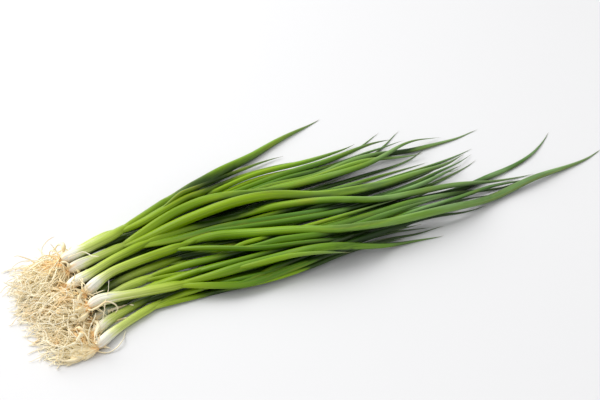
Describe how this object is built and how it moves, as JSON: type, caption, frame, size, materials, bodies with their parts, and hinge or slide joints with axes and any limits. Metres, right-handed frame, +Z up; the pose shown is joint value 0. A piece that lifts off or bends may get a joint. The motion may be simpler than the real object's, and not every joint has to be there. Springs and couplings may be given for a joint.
{
  "type": "spring onion bunch",
  "caption": "Loose bunch of spring onions lying on a table, with pale root tufts, white bulbs, pale shanks and long tapering green hollow leaves that fan out to thin tips.",
  "frame": {"origin": "middle of the bunch's outline in plan, on the surface that the bunch lies on", "axes": "+X runs along the bunch from the roots to the leaf tips, +Z is up from the surface"},
  "size_m": [0.4364, 0.1666, 0.022],
  "materials": {
    "leaf": "satin waxy green leaf skin with fine lengthwise veins, brighter yellow green near the shank and blue green to grey green at the tip",
    "shank": "smooth, slightly shiny bulb and shank, white at the root plate and pale yellow green further up",
    "root_fibre": "matt cream root fibres with tan shadows"
  },
  "bodies": {
    "root": {"leaf_01a": "leaf", "leaf_01b": "leaf", "leaf_02a": "leaf", "leaf_02b": "leaf", "leaf_03a": "leaf", "leaf_03b": "leaf", "leaf_04a": "leaf", "leaf_04b": "leaf", "leaf_05a": "leaf", "leaf_05b": "leaf", "leaf_06a": "leaf", "leaf_06b": "leaf", "leaf_07a": "leaf", "leaf_07b": "leaf", "leaf_08a": "leaf", "leaf_08b": "leaf", "leaf_09a": "leaf", "leaf_09b": "leaf", "leaf_10a": "leaf", "leaf_10b": "leaf", "leaf_11a": "leaf", "leaf_11b": "leaf", "leaf_12a": "leaf", "leaf_12b": "leaf", "leaf_13a": "leaf", "leaf_13b": "leaf", "leaf_14a": "leaf", "leaf_14b": "leaf", "leaf_15a": "leaf", "leaf_15b": "leaf", "roots_01": "root_fibre", "roots_02": "root_fibre", "roots_03": "root_fibre", "roots_04": "root_fibre", "roots_05": "root_fibre", "roots_06": "root_fibre", "roots_07": "root_fibre", "roots_08": "root_fibre", "roots_09": "root_fibre", "roots_10": "root_fibre", "roots_11": "root_fibre", "roots_12": "root_fibre", "roots_13": "root_fibre", "roots_14": "root_fibre", "roots_15": "root_fibre", "stem_01": "shank", "stem_02": "shank", "stem_03": "shank", "stem_04": "shank", "stem_05": "shank", "stem_06": "shank", "stem_07": "shank", "stem_08": "shank", "stem_09": "shank", "stem_10": "shank", "stem_11": "shank", "stem_12": "shank", "stem_13": "shank", "stem_14": "shank", "stem_15": "shank"}
  },
  "joints": []
}
